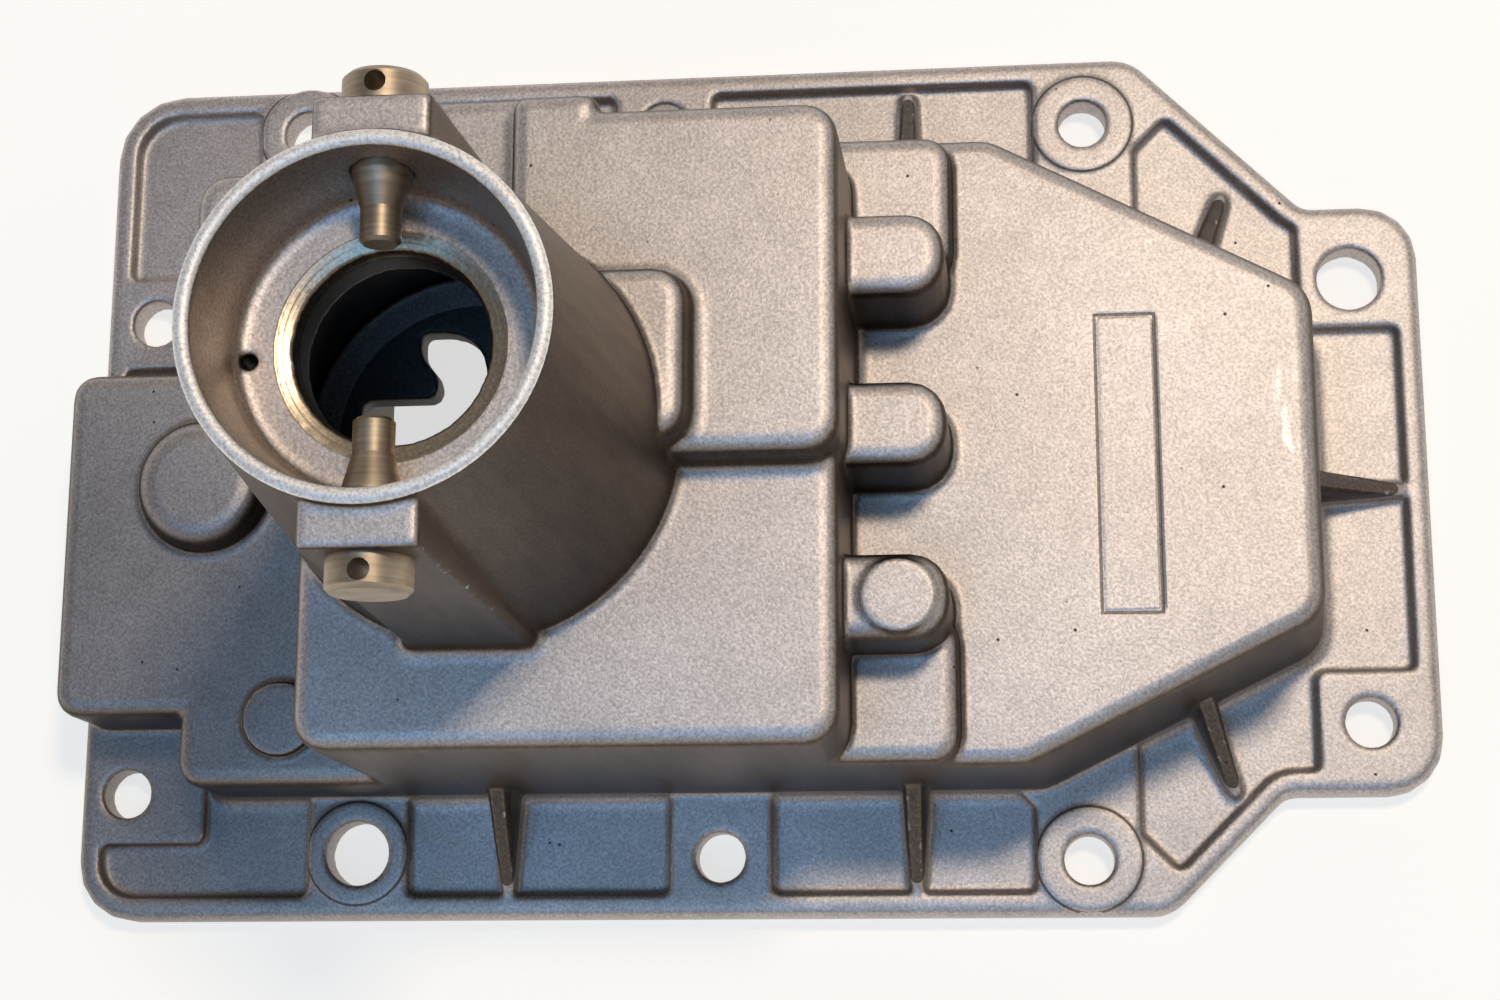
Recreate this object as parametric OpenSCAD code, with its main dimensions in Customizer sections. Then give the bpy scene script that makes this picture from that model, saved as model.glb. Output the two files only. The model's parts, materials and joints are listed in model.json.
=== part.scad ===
// Shifter cover of a manual gearbox: a hollow die casting with a bolting flange,
// a stepped roof, rail end bosses and a round lever turret, and the two turned
// pivot pins that are pressed through the turret's flats.
// Origin: middle of the flange's mounting face. +Z is up through the turret,
// +X runs along the shift rails to the tapered nose, +Y is the ten-bolt flange's far side.

/* [Flange] */
// Length of the flange along the rails
flange_l = 242.2; // [240:0.2:250]
// Width of the flange across the rails
flange_w = 156.6; // [155:0.2:162]
// Thickness of the flange at its rim and bolt pads
flange_t = 6.4; // [5:0.2:9]
// Radius of the rounded upper edge of the flange
flange_edge_r = 1.8; // [1:0.1:2.2]
// Width of the raised rim round the flange
rim_w = 4.2; // [3.4:0.2:5]
// Depth of the relief pockets below the rim
pocket_d = 2.2; // [1:0.2:3]
// Radius of the corners of the relief pockets
pocket_r = 1.5; // [0.8:0.1:2]
// Corner radius of the flange at the far left
far_corner_r = 12.5; // [8:0.5:14]
// Corner radius of the flange at the near left
near_corner_r = 10.5; // [7:0.5:12]
// Corner radius of the two ears at the nose
ear_r = 9.6; // [6:0.2:11]
// Distance of the far ear's outer side from the centre line
far_ear_y = 48.2; // [46:0.2:52]
// Length of the far ear along the rails
far_ear_l = 19.9; // [18:0.1:22]
// Distance of the near ear's outer side from the centre line
near_ear_y = 57.9; // [56:0.1:60]
// Length of the near ear along the rails
near_ear_l = 26.9; // [25:0.1:29]

/* [Bolt holes] */
// Diameter of the eight clearance holes
bolt_d = 8.7; // [6:0.1:9]
// Diameter of the two larger locating holes
dowel_d = 11.3; // [9:0.1:12]
// Half width of a bolt pad and radius of a spot faced boss
pad_r = 9; // [8:0.05:9]
// Height of a spot faced boss above the rim
boss_rise = 0.5; // [0.3:0.1:1]
// Places of the far row's holes along the flange
far_bolts_x = [-83.5, -15.4, 62.1]; // [-90:0.1:65]
// Distances of the far row's holes in from the edge
far_bolts_in = [9.1, 10, 12.8]; // [9:0.1:14]
// Places of the near row's holes along the flange
near_bolts_x = [-69.4, -4.3, 59.9]; // [-72:0.1:62]
// Distances of the near row's holes in from the edge
near_bolts_in = [11.7, 10.6, 9.7]; // [9:0.1:13]
// Places of the left holes across the flange
left_bolts_y = [32.8, -55.6]; // [-57:0.1:34]
// Distances of the left holes in from the edge
left_bolts_in = [9.6, 8.7]; // [8.5:0.1:11]
// Places of the nose holes across the flange
nose_bolts_y = [34.5, -45.4]; // [-47:0.1:36]
// Distance of the nose holes in from the edge
nose_bolts_in = 12.3; // [11:0.1:13]

/* [Housing] */
// Wall thickness of the casting
wall = 3.5; // [3:0.25:4.5]
// Draft of the walls in millimetres for each millimetre of height
draft = 0.01; // [0.005:0.005:0.02]
// Radius of the rounded upper edges
edge_r = 2.6; // [1.5:0.1:3]
// Radius of the fillet at the foot of the walls
root_r = 2.2; // [1.5:0.1:3]
// Distance of the near wall's foot from the centre line
near_wall_y = 56.5; // [54:0.1:57]
// Distance of the far wall's foot from the centre line
far_wall_y = 51; // [49:0.1:52]
// Height of the low shelf at the left
shelf_h = 25; // [20:0.5:30]
// Height of the nose plate
nose_h = 42; // [36:0.5:44]
// Height of the two shoulders beside the rail bosses
shoulder_h = 46.5; // [45:0.5:50]
// Height of the three rail end bosses
rail_h = 61; // [56:0.5:64]
// Height of the main block's roof
block_h = 70; // [66:0.5:72]
// Height of the raised roof beside the turret
roof_h = 78; // [75:0.5:80]
// Height of the bracing step against the turret
brace_h = 85; // [83:0.5:90]
// Left end of the low shelf
shelf_x = -120.4; // [-120.6:0.1:-119]
// Far side of the low shelf
shelf_y = 18.4; // [16:0.1:20]
// Left end of the shelf's near part, past the corner bolt's pad
notch_x = -97.6; // [-99:0.1:-96]
// Near side of the shelf beside the corner bolt
notch_y = -44; // [-45:0.1:-42]
// Left wall of the main block
block_x = -64.8; // [-67:0.1:-63]
// Right wall of the main block
block_end_x = 22; // [20:0.1:23]
// Left wall of the far corner of the housing
corner_x = -93.2; // [-94:0.1:-90]
// Far wall of the far corner of the housing
corner_y = 49.6; // [47:0.1:50]
// Right wall of the nose plate
nose_x = 98.2; // [95:0.1:99]
// Where the nose plate's far bevel begins
far_bevel_x = 45.2; // [40:0.2:50]
// Where the nose plate's far bevel ends
far_bevel_y = 23; // [18:0.2:26]
// Where the nose plate's near bevel begins
near_bevel_x = 49.6; // [42:0.2:52]
// Where the nose plate's near bevel ends
near_bevel_y = -32.6; // [-35:0.2:-28]
// Radius of the shelf's corners in plan
shelf_r = 4.5; // [4:0.1:6]
// Radius of the main block's and the far corner's corners in plan
block_r = 6; // [5:0.1:7]
// Radius of the nose plate's end corners in plan
nose_r = 7; // [6:0.1:9]
// Radius of the blends between the nose plate's sides and its bevels
bevel_r = 8; // [6:0.1:10]
// Extra lean of the nose's end walls from top to foot
nose_lean = 3.2; // [1:0.1:4]

/* [Roof steps] */
// Radius of the raised roof's and the bracing step's corners in plan
roof_r = 6; // [4:0.1:6.6]
// Radius of the shoulders' corners in plan
shoulder_r = 5; // [4:0.1:6]
// Radius of the rail bosses' ends in plan
rail_r = 6.6; // [5:0.1:6.8]
// Radius of the fillet at the foot of the rail bosses
rail_root_r = 1.4; // [0.8:0.1:2.4]
// Right wall of the two shoulders
shoulder_x = 39.4; // [38:0.1:42]
// Set-back of the far shoulder from the nose's far wall
shoulder_set = 0.8; // [0.5:0.1:2]
// Right end of the rail bosses
rail_x = 38.6; // [36:0.1:40]
// Place of the middle rail boss across the cover
rail_y = -3.4; // [-5:0.1:-2]
// Spacing of the three rail bosses
rail_pitch = 28; // [27:0.1:29]
// Width of a rail boss at its foot
rail_w = 15; // [13.5:0.1:16]
// Left wall of the raised roof
roof_x = -30.4; // [-31:0.1:-28]
// Right wall of the raised roof
roof_end_x = 22.9; // [22:0.1:24]
// Near side of the raised roof
roof_near_y = -12.6; // [-14:0.1:-11]
// Far side of the raised roof
roof_far_y = 45.3; // [43:0.1:46]
// Length of the roof's tab that reaches further to the far side
roof_tab_l = 15.4; // [13:0.1:18]
// Reach of that tab past the roof's far side
roof_tab_out = 2.9; // [2:0.1:3.5]
// Right wall of the bracing step
brace_x = 0.2; // [-2:0.1:2]
// Far side of the bracing step
brace_y = 17; // [15:0.1:18]
// Radius of the domed boss on the shelf
dome_r = 11.6; // [9:0.1:12.5]
// Place of the domed boss along the shelf
dome_x = -94; // [-97:0.1:-92]
// Height of the domed boss above the shelf
dome_h = 6; // [4.5:0.1:8]
// Radius of the domed boss's rounded edge
dome_edge = 4; // [3:0.1:4.4]
// Radius of the flat discs on the shelf and on the near rail boss
disc_r = 6.4; // [4.5:0.1:6.6]
// Height of the flat discs
disc_h = 1.6; // [1.2:0.1:2]
// Place of the shelf's disc along the cover
disc_x = -78.9; // [-82:0.1:-76]
// Place of the shelf's disc across the cover
disc_y = -44.9; // [-46:0.1:-42]
// Length of the blank marking panel on the nose
panel_l = 51; // [40:0.5:52]
// Width of the blank marking panel
panel_w = 10.6; // [8:0.2:12]
// Depth of the line round the marking panel
panel_d = 0.4; // [0.3:0.1:0.8]

/* [Ribs] */
// Width of a buttress rib at the wall
rib_w = 5; // [4:0.1:6.5]
// Width of a buttress rib at its tip
rib_tip_w = 2.8; // [1.5:0.1:3.4]
// Height of a buttress rib at the wall
rib_h = 21; // [14:0.5:24]
// Place of the far wall's rib along the cover
far_rib_x = 30.3; // [25:0.1:34]
// Set-back of the far wall's rib from the rim
far_rib_set = 1.2; // [0:0.1:2]
// Places of the near wall's ribs along the cover
near_ribs_x = [-42, 30.2]; // [-45:0.1:34]
// Place of the nose's end rib across the cover
nose_rib_y = -4.5; // [-10:0.1:5]
// Place of the far bevel's rib back from the nose's end
far_slant_rib = 18; // [13:0.1:22]
// Length of the far bevel's rib
far_slant_l = 20; // [16:0.5:21]
// Place of the near bevel's rib back from the nose's end
near_slant_rib = 18.6; // [14:0.1:22]
// Length of the near bevel's rib
near_slant_l = 17.4; // [14:0.2:18]
// Angle of the bevels' ribs to the cover's length
slant_rib_angle = 70; // [64:0.5:74]

/* [Turret] */
// Place of the turret's axis along the cover
turret_x = -35.7; // [-37:0.1:-34]
// Place of the turret's axis across the cover
turret_y = -7.1; // [-9:0.1:-5]
// Height of the turret's rim
turret_h = 141.4; // [130:0.2:150]
// Outside diameter of the turret at its rim
turret_d = 51; // [50:0.1:53]
// Taper of the turret's outside in millimetres for each millimetre of height
turret_taper = 0.098; // [0.05:0.002:0.1]
// Wall thickness of the turret beside its hollow
turret_wall = 5.5; // [4.5:0.1:7]
// Inside diameter of the turret at its rim
cup_d = 46.6; // [45.5:0.1:47]
// Rounding of the rim's outer and inner edges
lip_edge = 0.5; // [0.3:0.1:0.8]
// Narrowing of the cup's radius from its rim to its ledge
cup_taper = 1.4; // [0.6:0.1:2]
// Radius of the fillet between the cup's wall and its ledge
cup_fillet = 2.2; // [1:0.1:2.6]
// Depth of the cup from the rim to the ledge
cup_depth = 16.4; // [14:0.2:20]
// Inner diameter of the cast ledge, where the machined seat begins
seat_d = 32.2; // [30:0.1:34]
// Diameter of the machined bore for the lever
bore_d = 27.2; // [24:0.1:29]
// Length of the machined bore
bore_l = 6; // [5:0.2:8]
// Radius of the fillet at the turret's foot on the main block
turret_root_r = 1.4; // [0.8:0.1:2.4]
// Distance of the drain hole in from the cup's rim
drain_in = 3.4; // [3:0.1:4.5]
// Diameter of the small drain hole beside the ledge
drain_d = 2.2; // [1.5:0.1:3]
// Half width of a flat at its foot
flat_w = 10.3; // [9.5:0.1:11]
// Distance of a flat from the turret's axis at its foot
flat_out = 33.1; // [32:0.1:35]
// Drop of a flat's top below the rim
flat_drop = 1.8; // [1:0.1:3]
// Draft of the flats in millimetres for each millimetre of height
flat_draft = 0.03; // [0.02:0.005:0.035]

/* [Gate] */
// Thickness of the turret's floor, through which the gate is cut
gate_t = 5; // [4:0.2:6]
// Left side of the gate window from the turret's axis
gate_left = 18.4; // [17:0.1:18.8]
// Right side of the gate window from the turret's axis
gate_right = 1.4; // [0.5:0.1:3]
// Near side of the gate window from the turret's axis
gate_near = 12.4; // [11:0.1:13]
// Far side of the gate window from the turret's axis
gate_far = 17.8; // [16.5:0.1:18]
// Left side of the window's far slot from the turret's axis
slot_left = 9.1; // [8:0.1:9.4]
// Near side of the gate finger from the turret's axis
finger_y = 7; // [6:0.1:7.5]
// Reach of the finger's tip past the slot's left side
finger_tip = 2.8; // [2:0.1:3.2]

/* [Pivot pins] */
// Depth of the pins' axis below the turret's rim
pin_drop = 9.2; // [7.6:0.1:10]
// Diameter of a pin's head outside the turret
head_d = 11.8; // [10:0.1:12.4]
// Length of a pin's head
head_l = 4.8; // [4:0.1:7]
// Diameter of a pin's shank through the turret's wall
shank_d = 8.4; // [7:0.1:9.5]
// Diameter of a pin's thin end
tip_d = 5.7; // [4.5:0.1:6.5]
// Distance of a pin's thin end from the turret's axis
tip_in = 12.1; // [10:0.1:14]
// Length of the thin end
tip_l = 4.9; // [3:0.1:6]
// Length of the cone behind the thin end
cone_l = 5; // [4:0.1:6]
// Diameter of the cross hole in a pin's head
cross_d = 3; // [2:0.1:4]
// Clearance of the shank in its hole, all round
shank_fit = 0.02; // [0:0.01:0.1]

/* [Hidden] */
$fn = 72;
cast_colour = [0.62, 0.58, 0.54];
pin_colour = [0.45, 0.38, 0.30];
arc_steps = 4;
sink = 0.4;
left_x = -flange_l / 2;
right_x = flange_l / 2;
far_y = flange_w / 2;
near_y = -flange_w / 2;
floor_z = flange_t - pocket_d;
pin_z = turret_h - pin_drop;
far_bevel_l = far_y - far_ear_y;
near_bevel_l = -near_y - near_ear_y;
ledge_z = turret_h - cup_depth;
seat_z = ledge_z - (seat_d - bore_d) / 2;
bore_end = seat_z - bore_l;
flat_face = flat_out - flat_draft * (pin_z - block_h);
head_seat = flat_face - 0.2;
turret_r = turret_d / 2;
turret_foot_r = turret_r + turret_taper * (turret_h - block_h);

// The flange's outline, counterclockwise: place and corner radius of each corner
FLANGE = [
    [left_x, near_y, near_corner_r],
    [right_x - near_ear_l - near_bevel_l, near_y, 8],
    [right_x - near_ear_l, -near_ear_y, 4],
    [right_x, -near_ear_y, ear_r],
    [right_x, far_ear_y, ear_r],
    [right_x - far_ear_l, far_ear_y, 4],
    [right_x - far_ear_l - far_bevel_l, far_y, 8],
    [left_x, far_y, far_corner_r]
];
FAR_BOLTS = [for (i = [0:2]) [far_bolts_x[i], far_y - far_bolts_in[i]]];
NEAR_BOLTS = [for (i = [0:2]) [near_bolts_x[i], near_y + near_bolts_in[i]]];
LEFT_BOLTS = [for (i = [0:1]) [left_x + left_bolts_in[i], left_bolts_y[i]]];
NOSE_BOLTS = [for (i = [0:1]) [right_x - nose_bolts_in, nose_bolts_y[i]]];
DOWELS = [NEAR_BOLTS[0], NOSE_BOLTS[0]];
BOLTS = concat(FAR_BOLTS, [NEAR_BOLTS[1], NEAR_BOLTS[2]], LEFT_BOLTS, [NOSE_BOLTS[1]]);
SPOT_FACES = [FAR_BOLTS[0], FAR_BOLTS[2], NEAR_BOLTS[0], NEAR_BOLTS[2]];

// The housing's blocks, each a rounded outline at the flange with its own height
function box_outline(x0, x1, y0, y1, r) = [[x0, y0, r], [x1, y0, r], [x1, y1, r], [x0, y1, r]];
inner_lap = 2 * wall + 4;
SHELF = box_outline(shelf_x, block_x + inner_lap, notch_y, shelf_y, shelf_r);
SHELF_NEAR = box_outline(notch_x, block_x + inner_lap, -near_wall_y, shelf_y - wall, shelf_r);
CORNER = box_outline(corner_x, block_x + inner_lap, shelf_y - wall, corner_y, block_r);
UNDER_CORNER = box_outline(corner_x, block_x + inner_lap, notch_y, corner_y, shelf_r);
NOSE = [
    [block_x + wall, -near_wall_y, 3],
    [near_bevel_x, -near_wall_y, bevel_r, 1],
    [nose_x, near_bevel_y, nose_r, 1],
    [nose_x, far_bevel_y, nose_r, 1],
    [far_bevel_x, far_wall_y, bevel_r, 1],
    [block_x + wall, far_wall_y, 3]
];
shoulder_in = block_end_x - inner_lap;
FAR_SHOULDER = box_outline(shoulder_in, shoulder_x, rail_y + rail_pitch, far_wall_y - shoulder_set, shoulder_r);
NEAR_SHOULDER = box_outline(shoulder_in, shoulder_x, -near_wall_y, rail_y - rail_pitch, shoulder_r);
tab_end_x = roof_x + roof_tab_l;
BLOCK = box_outline(block_x, block_end_x, -near_wall_y, roof_far_y, block_r);
BLOCK_FAR = box_outline(block_x, tab_end_x, turret_y, far_wall_y, block_r);
ROOF = box_outline(roof_x, roof_end_x, roof_near_y, roof_far_y, roof_r);
ROOF_TAB = box_outline(roof_x, tab_end_x, turret_y, roof_far_y + roof_tab_out, 3);
BRACE = box_outline(turret_x, brace_x, roof_near_y + 0.8, brace_y, roof_r);
function rail_outline(k) = let (y = rail_y + k * rail_pitch)
    [[shoulder_in, y - rail_w / 2, 3], [rail_x, y - rail_w / 2, rail_r],
     [rail_x, y + rail_w / 2, rail_r], [shoulder_in, y + rail_w / 2, 3]];

// An outline drawn inwards by a given inset, with its corners as arcs
function unit(v) = v / norm(v);
function fine(v) = round(v * 1000) / 1000;
function corner_arc(p0, p1, p2, inset, steps) =
    let (e0 = unit([p1.x - p0.x, p1.y - p0.y]), e1 = unit([p2.x - p1.x, p2.y - p1.y]),
         n0 = [-e0.y, e0.x], n1 = [-e1.y, e1.x],
         bend = cross(e0, e1), side = sign(bend),
         r = max(p1.z - side * inset, 0.3),
         c = [p1.x, p1.y] + (n0 + n1) / (1 + n0 * n1) * (inset + side * r),
         a0 = atan2(-side * n0.y, -side * n0.x), turn = atan2(bend, e0 * e1))
    [for (k = [0:steps]) c + r * [cos(a0 + turn * k / steps), sin(a0 + turn * k / steps)]];
function outline(corners, inset = 0, steps = arc_steps) =
    let (n = len(corners))
    [for (i = [0:n - 1])
        each corner_arc(corners[(i + n - 1) % n], corners[i], corners[(i + 1) % n], inset, steps)];

// A solid through copies of one outline, each level with its height, inset and lean
function leaned(corners, by) = [for (c = corners) [c.x + (len(c) > 3 ? by : 0), c.y, c.z]];
module lofted(corners, levels, steps = arc_steps) {
    rings = [for (l = levels)
        [for (p = outline(leaned(corners, l.z), l.y, steps)) [fine(p.x), fine(p.y), fine(l.x)]]];
    m = len(rings[0]);
    last = len(levels) - 1;
    mid_x = fine((min([for (c = corners) c.x]) + max([for (c = corners) c.x])) / 2);
    mid_y = fine((min([for (c = corners) c.y]) + max([for (c = corners) c.y])) / 2);
    middles = [[mid_x, mid_y, rings[0][0].z], [mid_x, mid_y, rings[last][0].z]];
    sides = [for (k = [0:last - 1]) each [for (i = [0:m - 1])
        let (a = k * m + i, b = k * m + (i + 1) % m) [a, a + m, b + m, b]]];
    base = (last + 1) * m;
    lids = [for (i = [0:m - 1]) let (n = (i + 1) % m) each
        [[base, i, n], [base + 1, last * m + n, last * m + i]]];
    polyhedron(concat([for (ring = rings) each ring], middles), concat(lids, sides));
}

// Levels of a cast block: fillet at the foot, drafted walls, rounded upper edge
function drafted(z) = draft * (z - floor_z);
function foot_levels(foot, root, lean) = concat(
    [[foot - sink, drafted(foot) - root, lean]],
    [for (k = [0:3]) [foot + root * (1 - cos(k * 30)),
        drafted(foot + root * (1 - cos(k * 30))) - root * (1 - sin(k * 30)), lean]]);
function edge_levels(top, edge, lean) =
    [for (k = [0:3]) [top - edge * (1 - sin(k * 30)),
        drafted(top - edge) + edge * (1 - cos(k * 30)), lean * (k == 0 ? 0.1 : 0)]];
module cast_block(corners, top, foot = floor_z, lean = 0, root = root_r, edge = edge_r) {
    lofted(corners, concat(foot_levels(foot, root, lean), edge_levels(top, edge, lean)));
}

// The fillet where a block stands on the roof of a carrying block
module cast_step(corners, top, foot, carrier) {
    intersection() {
        lofted(corners, concat(foot_levels(foot, root_r, 0), [[top - edge_r, drafted(top - edge_r), 0]]));
        translate([0, 0, foot - 2]) linear_extrude(top) polygon(outline(carrier, drafted(foot) + edge_r));
    }
}

// The hollow under a cast block, one wall thickness inside it
module cored(corners, top, lean = 0) {
    lofted(corners, [[-1, wall + drafted(-1), lean], [top - wall, wall + drafted(top - wall), 0]], 2);
}

module on_turret() {
    translate([turret_x, turret_y, 0]) children();
}

// The flange with its rim, relief pockets, bolt pads and spot faced bosses
module flange() {
    difference() {
        lofted(FLANGE, concat([[0, 0, 0]], [for (k = [0:3])
            [flange_t - flange_edge_r * (1 - sin(k * 30)), 0.1 + flange_edge_r * (1 - cos(k * 30)), 0]]));
        translate([0, 0, floor_z]) linear_extrude(flange_t)
            offset(r = pocket_r) offset(r = -2 * pocket_r) offset(r = pocket_r) pockets();
    }
    for (p = SPOT_FACES)
        translate([p.x, p.y, 1]) cylinder(r = pad_r, h = flange_t + boss_rise - 1);
}

module pockets() {
    difference() {
        polygon(outline(FLANGE, rim_w, 6));
        for (p = FAR_BOLTS) translate([p.x - pad_r, 0]) square([2 * pad_r, far_y]);
        for (p = NEAR_BOLTS) translate([p.x - pad_r, near_y]) square([2 * pad_r, -near_y]);
        translate([left_x, LEFT_BOLTS[0].y - pad_r]) square([-left_x, 2 * pad_r - 0.5]);
        translate([left_x, LEFT_BOLTS[1].y - pad_r]) square([notch_x - left_x - 0.4, -LEFT_BOLTS[1].y]);
        for (p = NOSE_BOLTS) translate([p.x - pad_r, p.y - pad_r]) square([far_y, 2 * pad_r]);
        translate(NOSE_BOLTS[0]) translate([-pad_r, 0]) square([far_y, far_y]);
        translate(NOSE_BOLTS[1]) mirror([0, 1]) translate([-pad_r, 0]) square([far_y, far_y]);
        // The bevels' pads, square to the flange's slanted sides
        translate(FAR_BOLTS[2]) rotate(45) translate([-far_y, -pad_r - 1]) square([2 * far_y, pad_r]);
        translate(NEAR_BOLTS[2]) rotate(-45) translate([-far_y, 0]) square([2 * far_y, pad_r + 0.4]);
    }
}

// A buttress rib from a wall out to the rim, lying along +X from its root: a rounded crest
// that falls from the rib's height at the wall to the rim's height at its round tip
function rib_section(x, w, top) = let (low = floor_z - sink)
    [[x, -w, low], [x, -w * 0.86, low + (top - low) * 0.8], [x, -w * 0.5, low + (top - low) * 0.96],
     [x, w * 0.5, low + (top - low) * 0.96], [x, w * 0.86, low + (top - low) * 0.8], [x, w, low]];
module rib(length) {
    w = rib_w / 2;
    t = rib_tip_w / 2;
    end = length - t;
    sections = [rib_section(-wall / 2, w, rib_h), rib_section(end, t, flange_t + 0.8),
        rib_section(end + t * 0.7, t * 0.7, flange_t + 0.5), rib_section(end + t, t * 0.2, flange_t)];
    points = [for (section = sections) each section];
    sides = [for (k = [0:2]) each [for (i = [0:5]) let (a = 6 * k + i, b = 6 * k + (i + 1) % 6)
        each [[a, b, a + 6], [b, b + 6, a + 6]]]];
    polyhedron(points, concat([[0, 5, 4, 3, 2, 1], [18, 19, 20, 21, 22, 23]], sides));
}

module ribs() {
    far_slope = (far_wall_y - far_bevel_y) / (nose_x - far_bevel_x);
    near_slope = (near_bevel_y + near_wall_y) / (nose_x - near_bevel_x);
    translate([far_rib_x, far_wall_y, 0]) rotate(90)
        rib(far_y - rim_w - far_wall_y - far_rib_set);
    for (x = near_ribs_x) translate([x, -near_wall_y, 0]) rotate(-90) rib(-near_y - rim_w - near_wall_y);
    translate([nose_x, nose_rib_y, 0]) rib(right_x - rim_w - nose_x);
    translate([nose_x - far_slant_rib, far_bevel_y + far_slant_rib * far_slope, 0])
        rotate(slant_rib_angle) rib(far_slant_l);
    translate([nose_x - near_slant_rib, near_bevel_y - near_slant_rib * near_slope, 0])
        rotate(-slant_rib_angle) rib(near_slant_l);
}

// The housing's outside: shelf, nose, shoulders, rail bosses, main block and raised roof
module housing() {
    cast_block(SHELF, shelf_h, root = min(root_r, shelf_x - left_x - 0.1));
    cast_block(SHELF_NEAR, shelf_h);
    cast_block(CORNER, nose_h);
    cast_block(NOSE, nose_h, floor_z, nose_lean);
    cast_block(FAR_SHOULDER, shoulder_h);
    cast_block(NEAR_SHOULDER, shoulder_h);
    for (k = [-1:1]) cast_block(rail_outline(k), rail_h, nose_h, root = rail_root_r);
    cast_block(BLOCK, block_h);
    cast_block(BLOCK_FAR, block_h);
    cast_block(ROOF, roof_h, nose_h);
    cast_block(ROOF_TAB, roof_h, nose_h);
    cast_block(BRACE, brace_h, nose_h);
    cast_step(ROOF, roof_h, block_h, BLOCK);
    cast_step(ROOF_TAB, roof_h, block_h, BLOCK_FAR);
    cast_step(BRACE, brace_h, roof_h, ROOF);
}

// The hollow underside, with the turret's floor left whole for the gate
module hollow() {
    cored(SHELF, shelf_h);
    cored(SHELF_NEAR, shelf_h);
    cored(UNDER_CORNER, shelf_h);
    cored(CORNER, nose_h);
    cored(NOSE, nose_h, nose_lean);
    cored(FAR_SHOULDER, shoulder_h);
    cored(NEAR_SHOULDER, shoulder_h);
    for (k = [-1:1]) cored(rail_outline(k), rail_h);
    difference() {
        union() {
            cored(BLOCK, block_h);
            cored(BLOCK_FAR, block_h);
            cored(ROOF, roof_h);
        }
        on_turret() translate([0, 0, block_h - gate_t]) cylinder(r = turret_foot_r, h = turret_h - block_h);
    }
}

// Small bosses on the shelf and on the near rail boss
module bosses() {
    translate([dome_x, rail_y, shelf_h]) rotate_extrude() polygon(concat(
        [[0, -1], [dome_r + 1.2, -1], [dome_r + 1.2, 0], [dome_r + 0.35, 0.35], [dome_r, 1.2]],
        [for (a = [0:22.5:90]) [dome_r - dome_edge + dome_edge * cos(a), dome_h - dome_edge * (1 - sin(a))]],
        [[0, dome_h]]));
    translate([disc_x, disc_y, shelf_h - 1]) cylinder(r = disc_r, h = disc_h + 1);
    translate([rail_x - 8.6, rail_y - rail_pitch, rail_h - 1]) cylinder(r = disc_r - 0.5, h = disc_h);
}

// The turret's outside: a cone that passes the main block's left wall and stands on the shelf
// there, with a fillet at its root and two flats that carry the pins
module turret() {
    low_r = turret_foot_r + draft * (block_h - shelf_h);
    on_turret() rotate_extrude() polygon(concat(
        [[0, shelf_h - 1], [low_r + root_r, shelf_h - 1]],
        [for (k = [0:3]) [low_r + root_r * (1 - sin(k * 30)), shelf_h + root_r * (1 - cos(k * 30))]],
        [[turret_foot_r, block_h], [turret_r, turret_h - lip_edge],
         [turret_r - lip_edge, turret_h], [0, turret_h]]));
    intersection() {
        on_turret() rotate_extrude() polygon(concat(
            [[0, block_h - 1], [turret_foot_r + turret_root_r, block_h - 1]],
            [for (k = [0:3]) [turret_foot_r - 0.05 + turret_root_r * (1 - turret_taper - sin(k * 30)),
                block_h + turret_root_r * (1 - cos(k * 30))]],
            [[0, block_h + turret_root_r]]));
        translate([0, 0, block_h - 2]) linear_extrude(turret_h)
            polygon(outline(BLOCK, drafted(block_h) + edge_r));
    }
    for (side = [-1, 1]) on_turret() turret_flat(side);
}

module turret_flat(side) {
    top = turret_h - flat_drop;
    steps = [for (k = [0:3]) [block_h + root_r * (1 - cos(k * 30)), -root_r * (1 - sin(k * 30))]];
    rise = top - 0.8 - block_h;
    levels = concat([[block_h - 1, -root_r, 0]], [for (p = steps) [p.x, p.y + flat_draft * (p.x - block_h), 0]],
        [[top - 0.8, flat_draft * rise, 0], [top - 0.25, flat_draft * rise + 0.2, 0],
         [top, flat_draft * rise + 0.8, 0]]);
    scale([1, side, 1]) lofted(box_outline(-flat_w, flat_w, 0, flat_out, 1.6), levels);
}

// The machined cup, seat and bore of the turret, its hollow and the drain hole
module turret_bore() {
    cup_r = cup_d / 2;
    hollow_r = turret_r + turret_taper * (turret_h - bore_end) - turret_wall;
    on_turret() rotate_extrude() polygon(concat(
        [[0, turret_h + 1], [cup_r + lip_edge, turret_h + 1], [cup_r + lip_edge, turret_h],
         [cup_r, turret_h - lip_edge], [cup_r - cup_taper, ledge_z + cup_fillet]],
        [for (a = [22.5:22.5:90]) [cup_r - cup_taper - cup_fillet * (1 - cos(a)),
            ledge_z + cup_fillet * (1 - sin(a))]],
        [[seat_d / 2, ledge_z], [bore_d / 2, seat_z], [bore_d / 2, bore_end - 1], [0, bore_end - 1]]));
    on_turret() rotate_extrude() polygon([
        [0, bore_end], [hollow_r - 3, bore_end], [hollow_r - 0.9, bore_end - 0.9], [hollow_r, bore_end - 3],
        [hollow_r + turret_taper * (bore_end - block_h), block_h], [0, block_h]
    ]);
    on_turret() rotate([0, 0, 185]) translate([cup_r - drain_in, 0, bore_end - 4]) cylinder(d = drain_d, h = cup_depth);
}

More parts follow.
